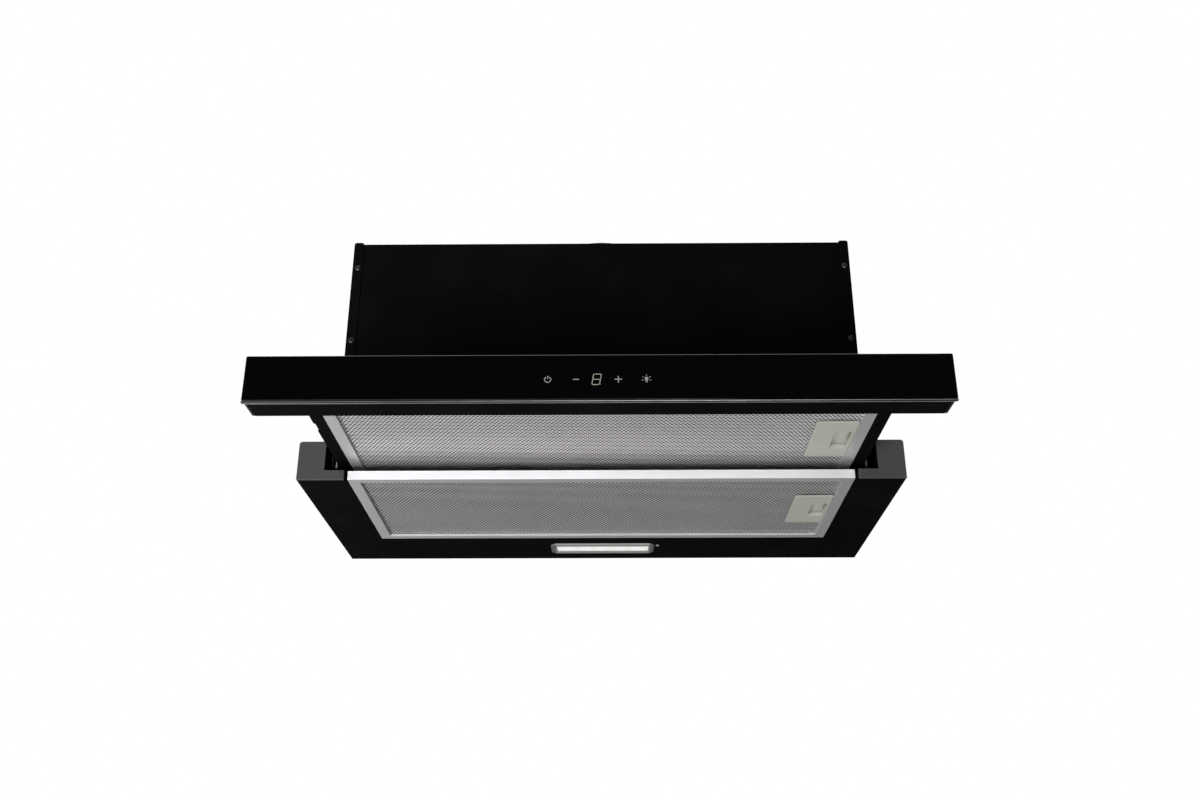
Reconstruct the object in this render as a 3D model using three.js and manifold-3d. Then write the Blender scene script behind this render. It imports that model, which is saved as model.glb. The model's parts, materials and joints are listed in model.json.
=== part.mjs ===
// Pull out range hood, 598 mm wide, shown with its drawer drawn out.
//
// A folded steel frame hangs under a wall cabinet and carries a tall housing with the blower in it.
// A shallow drawer with a glass front slides out of the frame on two three-piece ball slides, so that
// two metal grease filters, one in the drawer and one in the frame, cover the whole depth of the hob.
//
// Millimetres, X to the right, Y to the back, Z up. Everything is drawn from the frame's own corner:
// Y = 0 is the front of the grey end caps and Z = 0 the flat underside. The exported group then moves
// to the datum, the middle of the plane on which the cabinet's side panels stand.

import * as THREE from "three";
import { mergeVertices } from "three/addons/utils/BufferGeometryUtils.js";
import Module from "manifold-3d";

const wasm = await Module();
wasm.setup();

// ---------------------------------------------------------------- driving dimensions

const GAP = 0.3; // between pieces that touch
const SHEET = 1; // folded steel

const FRAME = { half: 298.5, depth: 280, height: 40, floor: 10, wingInner: 272, wingSeat: 282, step: 1.5 };
const BAY = { half: 249.5, back: 199.5 }; // the opening that the rear filter fills
const CAP = { face: 2.7, plug: 14, wall: 1.5, proud: 0.4, inner: 252.2, radius: 3 };

const HOUSING = { half: 262, back: 276, bottom: 43.5, top: 265.3, flange: 10.2, flangeRise: 1.5 };
const OUTLET = { y: 130, bore: 57, wall: 2.5, height: 43, flange: 80, flangeThick: 3 };
const FLAP = { radius: 55.6, thick: 1.5, barrel: 3.2, pin: 1.5, above: 8.4 };

const BLOWER = {
  x: -56, z: 150, front: 76, back: 184, wall: 2, inlet: 58,
  tongue: 75, tongueRadius: 82, endRadius: 110, throatLeft: -56,
};
const WHEEL = { radius: 75, inner: 61, front: 84, back: 176, blades: 34, bladeThick: 1.3, lean: 16 };
const MOTOR = { radius: 38, front: 134, shaft: 4 };

const FILTER = { half: 248.5, depth: 198, height: 9, sideBand: 11, endBand: 10, skin: 1, lip: 2.6, rearY: 0 };
const LATCH = { x: 197.7, y: 55.5, width: 39.5, length: 87, tongue: 2.4, carriage: 5, carriageThick: 1.6 };
const LATCH_WINDOW = { x0: 219, x1: 234.5, y0: 79.5, y1: 120.5, padEnd: 230.8, padRear: 102.5 };

const DRAWER = { travel: 159, floor: 19, top: 38, armOuter: 261, front: -160.9, filterY: -151.5, back: 58 };
const BAR = { half: 297.2, front: -188.4, back: -161.2, height: 41, wall: 1.5 };
const GLASS = { half: 299, front: -192.7, thick: 4, bottom: 1, top: 42.5 };

const SLIDE = { middleZ: 28.5, gauge: 1, fixedWeb: 262.6, drawerWeb: 251.3, plateBottom: 14.8 };
const LAMP = { y: 237.2, width: 118.7, depth: 37.6, lensWidth: 105.6, lensDepth: 19, drop: 1, slope: 1.2 };
const BRACKET = { reach: 282, z: 190, height: 40, thick: 1.5 };

const DATUM = new THREE.Vector3(0, -FRAME.depth / 2, -FRAME.height);

// ---------------------------------------------------------------- materials

const finish = (color, roughness, metalness) =>
  new THREE.MeshStandardMaterial({ color, roughness, metalness, flatShading: true });

const BLACK_STEEL = finish(0x0d0d0e, 0.5, 0.2);
const BLACK_PLASTIC = finish(0x121213, 0.6, 0);
const GREY_PLASTIC = finish(0x4b4b4d, 0.55, 0);
const BLACK_GLASS = finish(0x020203, 0.05, 0);
const ALUMINIUM = finish(0xb4b4b6, 0.35, 0.9);
const MESH_METAL = finish(0x8f8f90, 0.5, 0.8);
const PALE_PLASTIC = finish(0xa3a398, 0.6, 0);
const ZINC = finish(0xa0a2a4, 0.35, 0.9);
const LAMP_GREY = finish(0x8c8a86, 0.4, 0.3);
const LENS_WHITE = finish(0xe8e6e2, 0.4, 0);
const BOARD_GREEN = finish(0x1d4a31, 0.6, 0);
const DISPLAY_GREY = finish(0x24241f, 0.4, 0);
const RUBBER = finish(0x1b1b1b, 0.9, 0);

// ---------------------------------------------------------------- shapes and solids

const degrees = THREE.MathUtils.degToRad;
const corner = (u, v) => new THREE.Vector2(u, v);

// A closed geometry as a solid, with its faces turned outwards.
function solid(geometry) {
  geometry.deleteAttribute("normal");
  geometry.deleteAttribute("uv");
  const merged = mergeVertices(geometry, 1e-4);
  const points = merged.getAttribute("position").array;
  const faces = new Uint32Array(merged.index.array);
  if (signedVolume(points, faces) < 0) {
    for (let i = 0; i < faces.length; i += 3) {
      [faces[i + 1], faces[i + 2]] = [faces[i + 2], faces[i + 1]];
    }
  }
  return new wasm.Manifold(new wasm.Mesh({ numProp: 3, vertProperties: points, triVerts: faces }));
}

function signedVolume(points, faces) {
  const [a, b, c] = [new THREE.Vector3(), new THREE.Vector3(), new THREE.Vector3()];
  let sum = 0;
  for (let i = 0; i < faces.length; i += 3) {
    a.fromArray(points, faces[i] * 3);
    b.fromArray(points, faces[i + 1] * 3);
    c.fromArray(points, faces[i + 2] * 3);
    sum += a.dot(b.cross(c));
  }
  return sum / 6;
}

const join = (...solids) => solids.reduce((all, next) => all.add(next));
const cut = (body, ...tools) => tools.reduce((left, tool) => left.subtract(tool), body);

// An outline drawn in the plane across an axis, (y, z) for X, (x, z) for Y and (x, y) for Z.
function prism(axis, outline, from, to, curveSegments = 2) {
  const shape = outline instanceof THREE.Shape ? outline : new THREE.Shape(outline.map((p) => corner(...p)));
  const geometry = new THREE.ExtrudeGeometry(shape, { depth: to - from, bevelEnabled: false, curveSegments });
  const [X, Y, Z] = [new THREE.Vector3(1, 0, 0), new THREE.Vector3(0, 1, 0), new THREE.Vector3(0, 0, 1)];
  const turn = new THREE.Matrix4();
  if (axis === "x") turn.makeBasis(Y, Z, X).setPosition(from, 0, 0);
  if (axis === "y") turn.makeBasis(X, Z, Y.negate()).setPosition(0, to, 0);
  if (axis === "z") turn.setPosition(0, 0, from);
  return solid(geometry.applyMatrix4(turn));
}

function block([x0, x1], [y0, y1], [z0, z1]) {
  const geometry = new THREE.BoxGeometry(x1 - x0, y1 - y0, z1 - z0);
  return solid(geometry.translate((x0 + x1) / 2, (y0 + y1) / 2, (z0 + z1) / 2));
}

// A profile of [radius, place along the axis] turned round an axis through a centre.
function turned(axis, profile, centre, sides = 40) {
  const geometry = new THREE.LatheGeometry(profile.map((p) => corner(...p)), sides);
  if (axis === "x") geometry.rotateZ(-Math.PI / 2);
  if (axis === "z") geometry.rotateX(Math.PI / 2);
  return solid(geometry.translate(...centre));
}

// A round rod along an axis, [from, to] on that axis and the centre on the other two.
function rod(axis, radius, [from, to], centre, sides = 24) {
  return turned(axis, [[0, from], [radius, from], [radius, to], [0, to]], centre, sides);
}

function roundedRect([u0, u1], [v0, v1], radius) {
  const r = radius;
  const shape = new THREE.Shape();
  shape.moveTo(u0 + r, v0);
  shape.absarc(u1 - r, v0 + r, r, -Math.PI / 2, 0);
  shape.absarc(u1 - r, v1 - r, r, 0, Math.PI / 2);
  shape.absarc(u0 + r, v1 - r, r, Math.PI / 2, Math.PI);
  shape.absarc(u0 + r, v0 + r, r, Math.PI, Math.PI * 1.5);
  return shape;
}

// The section of a folded sheet: a path along one face, and the other face to its left.
function folded(path, thickness) {
  const points = path.map((p) => corner(...p));
  const normals = points.slice(1).map((p, i) => {
    const along = p.clone().sub(points[i]).normalize();
    return corner(-along.y, along.x);
  });
  const far = points.map((p, i) => {
    const before = normals[Math.max(i - 1, 0)];
    const after = normals[Math.min(i, normals.length - 1)];
    const mitre = before.clone().add(after).divideScalar(1 + before.dot(after));
    return p.clone().addScaledVector(mitre, thickness);
  });
  return [...points, ...far.reverse()].map((p) => [p.x, p.y]);
}

const object = new THREE.Group();

function piece(name, made, material) {
  const mesh = made.getMesh();
  const geometry = new THREE.BufferGeometry();
  geometry.setAttribute("position", new THREE.BufferAttribute(mesh.vertProperties, 3));
  geometry.setIndex(new THREE.BufferAttribute(mesh.triVerts, 1));
  const node = new THREE.Mesh(geometry, material);
  node.name = name;
  object.add(node);
  return node;
}

// The same piece on the right and, mirrored, on the left.
function pair(name, made, material) {
  piece("right_" + name, made, material);
  piece("left_" + name, made, material).scale.x = -1;
}

// ---------------------------------------------------------------- fixed frame

const sideSection = (inset) => [
  [BAY.half + inset, inset],
  [FRAME.half - inset, inset],
  [FRAME.half - inset, FRAME.height - inset],
  [FRAME.wingSeat + inset, FRAME.height - inset],
  [FRAME.wingSeat + inset, FRAME.height - FRAME.step - inset],
  [FRAME.wingInner + inset, FRAME.height - FRAME.step - inset],
  [FRAME.wingInner + inset, FRAME.floor - inset],
  [BAY.half + inset, FRAME.floor - inset],
];

const mirrored = (outline) => outline.map(([u, v]) => [-u, v]);

function baseFrame() {
  const begin = CAP.face + GAP;
  const end = FRAME.depth;
  const tubes = [sideSection, (inset) => mirrored(sideSection(inset))].map((section) =>
    cut(prism("y", section(0), begin, end), prism("y", section(SHEET), begin - 1, end - SHEET)),
  );
  // The rear strip: lip, floor, rear wall and its top flange, all from one sheet.
  const rearStrip = prism(
    "x",
    folded(
      [
        [BAY.back + 14, FRAME.floor],
        [BAY.back, FRAME.floor],
        [BAY.back, 0],
        [end, 0],
        [end, FRAME.height],
        [end - 18, FRAME.height],
      ],
      SHEET,
    ),
    -BAY.half - 1,
    BAY.half + 1,
  );
  const rearWall = block([-FRAME.half, FRAME.half], [end - SHEET, end], [0, FRAME.height]);
  const lampHole = block(
    [-LAMP.width / 2 + 5, LAMP.width / 2 - 5],
    [LAMP.y - LAMP.depth / 2 + 3, LAMP.y + LAMP.depth / 2 - 3],
    [-1, SHEET + 1],
  );
  const lampScrewHole = rod("z", 1.8, [-1, SHEET + 1], LAMP_SCREW, 10);
  return cut(join(...tubes, rearStrip, rearWall), lampHole, lampScrewHole, ...filterSlots(FILTER.rearY, 0));
}

function endCap() {
  const r = CAP.radius;
  const [inner, outer, top] = [CAP.inner, FRAME.half + CAP.proud, FRAME.height + 0.2];
  const face = new THREE.Shape();
  face.moveTo(inner, 0);
  face.lineTo(outer, 0);
  face.absarc(outer - r, top - r, r, 0, Math.PI / 2);
  face.absarc(FRAME.wingInner + r / 2, top - r / 2, r / 2, Math.PI / 2, Math.PI);
  face.lineTo(FRAME.wingInner, FRAME.floor);
  face.lineTo(inner, FRAME.floor);
  const plugInset = SHEET + GAP;
  const plug = cut(
    prism("y", sideSection(plugInset), CAP.face - 1, CAP.plug),
    prism("y", sideSection(plugInset + CAP.wall), CAP.face, CAP.plug + 1),
    block([BAY.half, inner], [0, CAP.plug + 1], [0, FRAME.floor]),
  );
  return join(prism("y", face, 0, CAP.face), plug);
}

// ---------------------------------------------------------------- housing

const HOUSING_SCREW_X = HOUSING.half - 5.6;
const HOUSING_SCREW_HEIGHTS = [151, 236];
const screwHole = (z) => rod("y", 1.8, [-3, 3], [HOUSING_SCREW_X, 0, z], 10);

function housingSide() {
  const { half, back, bottom, top, flange, flangeRise } = HOUSING;
  const front = -SHEET - GAP;
  const seat = FRAME.height;
  const bends = [[half - flange, front], [half, front], [half, back], [half - 14, back]];
  const plan = folded(bends, SHEET);
  const wall = prism("z", plan, seat - SHEET, top + flangeRise);
  const belowFlange = block([half - 15, half - SHEET], [front - 1, back + 1], [seat - 3, bottom]);
  const roundTop = cut(
    block([half - flange - 1, half + 1], [front - 1, 0], [top - 4, top + flangeRise + 1]),
    prism("y", roundedRect([half - flange, half], [top - 12, top + flangeRise], 2.5), front - 2, 1),
  );
  const foot = block([half - SHEET, FRAME.wingSeat - GAP], [6, back], [seat - SHEET, seat]);
  const sideFolds = block([half - 0.5, half + 1], [front - 1, 6], [seat - 3, bottom]);
  return cut(join(wall, foot), belowFlange, roundTop, sideFolds, ...HOUSING_SCREW_HEIGHTS.map(screwHole));
}

function housingFront() {
  const half = HOUSING.half - SHEET - GAP;
  const section = folded([[12, HOUSING.bottom], [0, HOUSING.bottom], [0, HOUSING.top]].reverse(), SHEET);
  const holes = HOUSING_SCREW_HEIGHTS.flatMap((z) => [screwHole(z), screwHole(z).mirror([1, 0, 0])]);
  return cut(prism("x", section, -half, half), ...holes);
}

function housingRear() {
  const half = HOUSING.half - SHEET - GAP;
  const outer = HOUSING.back - SHEET - GAP;
  const section = folded([[outer - 12, FRAME.height + 2], [outer, FRAME.height + 2], [outer, 262]], SHEET);
  return prism("x", section, -half, half);
}

function housingTop() {
  const half = HOUSING.half - SHEET - GAP;
  const [front, back] = [SHEET + GAP, HOUSING.back - SHEET - GAP];
  const bends = [[back, HOUSING.top], [front, HOUSING.top], [front, HOUSING.top - 14]];
  const section = folded(bends, SHEET);
  const plate = prism("x", section, -half, half);
  const beads = [-205, -150, 95, 150].map((x) =>
    prism("z", roundedRect([x, x + 9], [40, 215], 4), HOUSING.top - 0.5, HOUSING.top + 1.2),
  );
  const through = [HOUSING.top - 5, HOUSING.top + 5];
  const hole = rod("z", OUTLET.bore + OUTLET.wall + 1.5, through, [0, OUTLET.y, 0], 48);
  const glandHole = rod("z", 8.5, through, [GLAND.x, GLAND.y, 0]);
  return cut(join(plate, ...beads), hole, glandHole);
}

// A pan head with a cross recess on the side's front flange, and its shank through flange and plate.
function housingScrew(z) {
  const face = -SHEET - 2 * GAP;
  const profile = [
    [0, face - 1.7], [1.9, face - 1.5], [3.1, face - 0.6], [3.3, face], [1.5, face], [1.5, 6], [0, 7],
  ];
  const slots = [45, 135].map((angle) => {
    const bar = new THREE.BoxGeometry(3, 1.4, 0.8).rotateY(degrees(angle));
    return solid(bar.translate(HOUSING_SCREW_X, face - 1.5, z));
  });
  return cut(turned("y", profile, [HOUSING_SCREW_X, 0, z], 12), ...slots);
}

// ---------------------------------------------------------------- outlet with its two flaps

const outletFoot = HOUSING.top + GAP;
const pinHeight = outletFoot + FLAP.above;

function outletCollar() {
  const { bore, wall, height, flange, flangeThick } = OUTLET;
  const rim = HOUSING.top + height;
  const tube = turned(
    "z",
    [
      [bore - 3, outletFoot], [flange, outletFoot], [flange, outletFoot + flangeThick],
      [bore + wall, outletFoot + flangeThick], [bore + wall, rim - 12], [bore + wall + 1.3, rim - 10],
      [bore + wall, rim - 8], [bore + wall, rim], [bore, rim],
      [bore, outletFoot + 5], [bore - 3, outletFoot + 5], [bore - 3, outletFoot],
    ],
    [0, OUTLET.y, 0],
    36,
  );
  const notches = [22, 68, 112, 158, 202, 248, 292, 338].map((angle) => {
    const notch = new THREE.BoxGeometry(9, 7, 6).translate(bore + 1, 0, 0).rotateZ(degrees(angle));
    return solid(notch.translate(0, OUTLET.y, rim));
  });
  const pinBore = rod("x", FLAP.pin + GAP, [-bore - 1.2, bore + 1.2], [0, OUTLET.y, pinHeight], 12);
  const bosses = [-1, 1].map((side) =>
    block(
      [side * (bore - 0.2) - 1.5, side * (bore - 0.2) + 1.5],
      [OUTLET.y - 4, OUTLET.y + 4],
      [outletFoot + 4, pinHeight + 4],
    ),
  );
  return cut(join(tube, ...bosses), ...notches, pinBore);
}

// One half disc with barrels round the pin. side is -1 for the front half and 1 for the rear.
function flap(side) {
  const [lower, upper] = [pinHeight - 3, pinHeight - 3 + FLAP.thick];
  const start = side > 0 ? 0 : Math.PI;
  const chord = Math.asin(0.4 / FLAP.radius);
  const halfDisc = new THREE.Shape();
  halfDisc.absarc(0, OUTLET.y, FLAP.radius, start + chord, start + Math.PI - chord);
  const barrels = [-3, -1, 1, 3].filter((k) => (k + 5) % 4 === (side > 0 ? 0 : 2)).map((k) => k * 12.5);
  const others = [-3, -1, 1, 3].map((k) => k * 12.5).filter((x) => !barrels.includes(x));
  const reach = 11.8;
  const nearPin = FLAP.barrel + 0.8;
  const nearBoss = 9;
  const notch = (x, halfX, halfY) =>
    block([x - halfX, x + halfX], [OUTLET.y - halfY, OUTLET.y + halfY], [lower - 1, upper + 1]);
  const notches = [
    ...others.map((x) => notch(x, 12.6, nearPin)),
    ...[-54, 54].map((x) => notch(x, 5.5, nearBoss)),
  ];
  const axis = [0, OUTLET.y, pinHeight];
  const tubes = barrels.map((x) => rod("x", FLAP.barrel, [x - reach, x + reach], axis, 16));
  const pinBore = rod("x", FLAP.pin + GAP, [-60, 60], axis, 12);
  return cut(join(cut(prism("z", halfDisc, lower, upper, 9), ...notches), ...tubes), pinBore);
}

function flapPin() {
  const end = OUTLET.bore + 0.6;
  return rod("x", FLAP.pin, [-end, end], [0, OUTLET.y, pinHeight], 12);
}

// ---------------------------------------------------------------- blower

// The spiral's radius grows evenly with the angle, from the tongue round to the right wall.
function spiralRadius(angle) {
  const { tongue, tongueRadius, endRadius } = BLOWER;
  return tongueRadius + ((endRadius - tongueRadius) * (angle - tongue)) / (360 - tongue);
}

// The snail outline: the spiral, then the throat up to the top.
function snail(offset, top) {
  const { x, z, tongue, endRadius, throatLeft } = BLOWER;
  const steps = 22;
  const begin = tongue + offset * 3;
  const points = [];
  for (let i = 0; i <= steps; i++) {
    const angle = begin + ((360 - begin) * i) / steps;
    const radius = spiralRadius(angle) + offset;
    points.push([x + radius * Math.cos(degrees(angle)), z + radius * Math.sin(degrees(angle))]);
  }
  points.push([x + endRadius + offset, top], [throatLeft - offset, top]);
  return points;
}

// Half of the blower's case, from its end wall to the split in the middle.
function blowerHalf(wallY, splitY) {
  const { x, z, wall, inlet } = BLOWER;
  const inward = Math.sign(splitY - wallY);
  const between = (a, b) => [Math.min(a, b), Math.max(a, b)];
  const top = HOUSING.top - SHEET - GAP;
  const shell = cut(
    prism("y", snail(wall, top), ...between(wallY, splitY)),
    prism("y", snail(0, top + 5), ...between(wallY + inward * wall, splitY + inward * 5)),
  );
  const throat = [BLOWER.throatLeft, x + BLOWER.endRadius];
  const flange = cut(
    block([throat[0] - 10, throat[1] + 10], between(wallY - inward * 6, splitY), [top - 2, top]),
    block(throat, between(wallY + inward * wall, splitY + inward * 5), [top - 9, top + 5]),
  );
  const rim = [140, 200, 250, 310].map((angle) => {
    const reach = spiralRadius(angle) + 6;
    const [u, v] = [x + reach * Math.cos(degrees(angle)), z + reach * Math.sin(degrees(angle))];
    return rod("y", 5, between(splitY - inward * 9, splitY), [u, 0, v], 10);
  });
  const mouth = turned(
    "y",
    [
      [inlet, 7.4], [inlet, 4], [inlet + 3, 0], [inlet + 8, -2.5],
      [inlet + 8, 0.5], [inlet + 2, 7.4], [inlet, 7.4],
    ].map(([r, depth]) => [r, wallY + inward * depth]),
    [x, 0, z],
    26,
  );
  const bore = rod("y", inlet + 1, between(wallY - inward * 3, wallY + inward * 8), [x, 0, z], 26);
  return join(cut(join(shell, flange, ...rim), bore), mouth);
}

// Squirrel cage wheel, open at both ends, driven through the disc in its middle.
function fanWheel() {
  const { radius, inner, front, back, blades, bladeThick, lean } = WHEEL;
  const middle = (front + back) / 2;
  const ring = (from, to, r0, r1) =>
    turned("y", [[r0, from], [r1, from], [r1, to], [r0, to], [r0, from]], [0, 0, 0], 30);
  const disc = ring(middle - 1.5, middle + 1.5, MOTOR.shaft + GAP, inner + 1.2);
  const hub = ring(middle - 12, middle + 1.5, MOTOR.shaft + GAP, 11);
  const rims = [front, back - 3].map((from) => ring(from, from + 3, inner - 0.5, radius + 0.5));
  const arc = [0, 0.5, 1].map((t) => {
    const angle = degrees(lean * t * t);
    const r = inner + (radius - 0.6 - inner) * t;
    return [r * Math.cos(angle), r * Math.sin(angle)];
  });
  const outline = folded(arc, bladeThick);
  const cage = Array.from({ length: blades }, (_, i) => {
    const turn = (i * Math.PI * 2) / blades;
    const [c, s] = [Math.cos(turn), Math.sin(turn)];
    return prism("y", outline.map(([u, v]) => [u * c - v * s, u * s + v * c]), front + 1, back - 1);
  });
  return join(disc, hub, ...cage, ...rims);
}

function motorShaft() {
  const middle = (WHEEL.front + WHEEL.back) / 2;
  return rod("y", MOTOR.shaft, [middle - 15, MOTOR.front + 22], [0, 0, 0], 16);
}

function motor() {
  const { x, z, back } = BLOWER;
  const { radius, front, shaft } = MOTOR;
  return turned(
    "y",
    [
      [shaft + 1, front], [12, front], [13, front + 3], [radius - 6, front + 4], [radius, front + 9],
      [radius, back - 12], [radius - 4, back - 8], [radius - 4, back], [0, back], [0, front + 24],
      [shaft + 1, front + 24], [shaft + 1, front],
    ],
    [x, 0, z],
    26,
  );
}

// Three arms from the inlet's edge carry the motor.
function motorBracket() {
  const { x, z, back, inlet } = BLOWER;
  const [from, to] = [back + 2.8, back + 5.3];
  const plate = rod("y", MOTOR.radius - 3, [back + GAP, to], [x, 0, z], 28);
  const arms = [90, 210, 330].map((angle) => {
    const arm = new THREE.BoxGeometry(inlet + 17, to - from, 13).translate((inlet + 17) / 2, 0, 0);
    const foot = new THREE.BoxGeometry(8, 3, 13).translate(inlet + 13, -2, 0);
    const place = (g) => solid(g.rotateY(degrees(-angle)).translate(x, (from + to) / 2, z));
    return join(place(arm), place(foot));
  });
  return join(plate, ...arms);
}

// ---------------------------------------------------------------- electrics

const GLAND = { x: 205, y: 240 };
const CONTROL_BOX = { x: [112, 228], y: [40, 128], z: [212, 263.5], wall: 2 };

function controlBox() {
  const { x, y, z, wall } = CONTROL_BOX;
  const inside = block([x[0] + wall, x[1] - wall], [y[0] + wall, y[1] - wall], [z[0] - 1, z[1] - wall]);
  const vents = [142, 154, 166, 178, 190].map((left) =>
    block([left, left + 4], [y[0] - 1, y[0] + 3], [228, 252]),
  );
  return cut(prism("z", roundedRect(x, y, 4), ...z), inside, ...vents);
}

function controlBoxLid() {
  const { x, y, z, wall } = CONTROL_BOX;
  const plate = prism("z", roundedRect(x, y, 4), z[0] - 2.3, z[0] - GAP);
  const inset = wall + 0.5;
  const lip = cut(
    block([x[0] + inset, x[1] - inset], [y[0] + inset, y[1] - inset], [z[0] - 1, z[0] + 4]),
    block([x[0] + inset + 2, x[1] - inset - 2], [y[0] + inset + 2, y[1] - inset - 2], [z[0], z[0] + 5]),
  );
  return join(plate, lip);
}

function controlBoard() {
  const board = block([118, 222], [46, 122], [218, 219.6]);
  const transformer = block([124, 158], [54, 88], [219, 246]);
  const relays = [166, 186, 206].map((x) => block([x, x + 14], [56, 74], [219, 234]));
  const terminals = block([166, 216], [100, 114], [219, 230]);
  const posts = [122, 218].map((x) => rod("z", 2.5, [216.9, 218.5], [x, 50, 0], 10));
  return join(board, transformer, ...relays, terminals, ...posts);
}

function capacitor() {
  const bottom = 205;
  const top = HOUSING.top - SHEET - GAP;
  const profile = [
    [0, bottom], [14, bottom], [16, bottom + 2], [16, top - 9],
    [14, top - 7], [5, top - 7], [5, top], [0, top],
  ];
  return turned("z", profile, [-205, 60, 0], 18);
}

function cableGland() {
  const { top } = HOUSING;
  const profile = [
    [5, top - 12], [8, top - 12], [8, top + GAP], [12.5, top + GAP], [12.5, top + 5],
    [9.5, top + 7], [9.5, top + 17], [7.5, top + 20], [5, top + 20], [5, top - 12],
  ];
  return turned("z", profile, [GLAND.x, GLAND.y, 0], 16);
}

// ---------------------------------------------------------------- lamp

const octagon = (halfX, halfY, chamfer) => [
  [-halfX + chamfer, LAMP.y - halfY], [halfX - chamfer, LAMP.y - halfY], [halfX, LAMP.y - halfY + chamfer],
  [halfX, LAMP.y + halfY - chamfer], [halfX - chamfer, LAMP.y + halfY], [-halfX + chamfer, LAMP.y + halfY],
  [-halfX, LAMP.y + halfY - chamfer], [-halfX, LAMP.y - halfY + chamfer],
];

// A solid between two outlines with the same number of corners, one above the other.
function loft(lower, z0, upper, z1) {
  const n = lower.length;
  const points = [...lower.map(([x, y]) => [x, y, z0]), ...upper.map(([x, y]) => [x, y, z1])];
  const faces = [];
  for (let i = 0; i < n; i++) {
    const next = (i + 1) % n;
    faces.push(i, next, n + next, i, n + next, n + i);
    if (i > 0 && i < n - 1) faces.push(0, i + 1, i, n, n + i, n + i + 1);
  }
  const geometry = new THREE.BufferGeometry();
  geometry.setAttribute("position", new THREE.Float32BufferAttribute(points.flat(), 3));
  geometry.setIndex(faces);
  return solid(geometry);
}

// A flat frame under the strip, its outer edge sloped, with the lens lying a little inside it.
function lampBezel() {
  const { width, depth, lensWidth, lensDepth, drop, slope } = LAMP;
  const [hx, hy] = [width / 2, depth / 2];
  const [lx, ly] = [lensWidth / 2, lensDepth / 2];
  const shade = loft(octagon(hx - slope, hy - slope, 4.5), -GAP - drop, octagon(hx, hy, 5), -GAP);
  const neck = prism("z", octagon(hx - 5.6, hy - 3.6, 4), -GAP - 0.5, 9);
  const well = prism("z", octagon(lx, ly, 1), -5, 10);
  const seat = prism("z", octagon(lx + 2, ly + 2, 1.5), 1, 10);
  return cut(join(shade, neck), well, seat);
}

function lampLens() {
  const { lensWidth, lensDepth, drop } = LAMP;
  const [lx, ly] = [lensWidth / 2 - GAP, lensDepth / 2 - GAP];
  const face = prism("z", octagon(lx, ly, 1), -drop + 0.4, 2);
  const rim = prism("z", octagon(lx + 1.7, ly + 1.7, 1), 1 + GAP, 3);
  return join(face, rim);
}

function ledBoard() {
  const board = block([-53, 53], [LAMP.y - 10, LAMP.y + 10], [5.4, 7]);
  const leds = [-40, -20, 0, 20, 40].map((x) =>
    block([x - 2.5, x + 2.5], [LAMP.y - 2.5, LAMP.y + 2.5], [4, 5.6]),
  );
  return join(board, ...leds);
}

const LAMP_SCREW = [63, 226.5, 0];

function lampScrew() {
  const profile = [[0, -1.5], [1.4, -1.3], [2.3, -0.6], [2.3, -GAP], [1.5, -GAP], [1.5, 6], [0, 7]];
  return turned("z", profile, LAMP_SCREW, 14);
}

// ---------------------------------------------------------------- ball slides

// Sections as (x, z) on the right hand side. Each member is a rolled strip: a web, and two arms that
// carry a raised race for the balls.
function channel(webX, tipX, half, race) {
  const into = Math.sign(tipX - webX);
  const inner = half - SLIDE.gauge;
  const arm = [
    [webX, half],
    [webX + into * 3, half],
    [webX + into * 3.8, half + race],
    [tipX - into * 0.8, half + race],
    [tipX, half],
    [tipX, inner],
    [webX + into * SLIDE.gauge, inner],
  ];
  const below = arm.map(([x, z]) => [x, -z]).reverse();
  return [...arm, ...below].map(([x, z]) => [x, SLIDE.middleZ + z]);
}

// The fixed member's web runs down as a plate, and two brackets space it off the frame's side.
function fixedSlide() {
  const { fixedWeb, gauge, plateBottom, middleZ } = SLIDE;
  const wall = FRAME.wingInner - GAP;
  const member = prism("y", channel(fixedWeb, 254.4, 8, 0), 8, 258);
  const plate = block([fixedWeb - gauge, fixedWeb], [8, 258], [plateBottom, middleZ]);
  const bracket = folded([[fixedWeb - 0.5, 24], [wall, 24], [wall, 35]], gauge);
  const brackets = [28, 205].map((y) => prism("y", bracket, y, y + 27));
  return join(member, plate, ...brackets);
}

function middleSlide() {
  const begin = 8 - DRAWER.travel / 2;
  return prism("y", channel(SLIDE.fixedWeb - SLIDE.gauge - GAP, 253.4, 5.6, 1.1), begin, begin + 230);
}

const drawerSlide = () => prism("y", channel(SLIDE.drawerWeb, 258.8, 3.4, 0.9), -153, 57);

// ---------------------------------------------------------------- filters

const latchMiddle = (filterY) => filterY + FILTER.depth / 2;
const tabPlaces = (filterY) => [filterY + 55, filterY + FILTER.depth - 55];

// A picture frame of folded channel: outer walls, a band below and above, and a lip that turns up
// along the lower band's inner edge.
function filterFrame(y, z) {
  const { half, depth, height, sideBand, endBand, skin, lip } = FILTER;
  const outer = block([-half, half], [y, y + depth], [z, z + height]);
  const inside = (grow, z0, z1) =>
    block(
      [-half + sideBand - grow, half - sideBand + grow],
      [y + endBand - grow, y + depth - endBand + grow],
      [z0, z1],
    );
  const groove = block(
    [-half + skin, half - skin],
    [y + skin, y + depth - skin],
    [z + skin, z + height - skin],
  );
  const bands = cut(outer, inside(0, z - 1, z + height + 1), groove);
  const lips = cut(inside(0.9, z + 0.1, z + lip), inside(0, z - 1, z + lip + 1));
  const tabs = tabPlaces(y).map((place) =>
    block([-half - 2.5, -half + 0.5], [place - 7, place + 7], [z + 3, z + 5]),
  );
  const tonguePort = block([half - 3, half + 1], [latchMiddle(y) - 9, latchMiddle(y) + 9], [z + 4.6, z + 7]);
  return cut(join(bands, lips, ...tabs), tonguePort);
}

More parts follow.
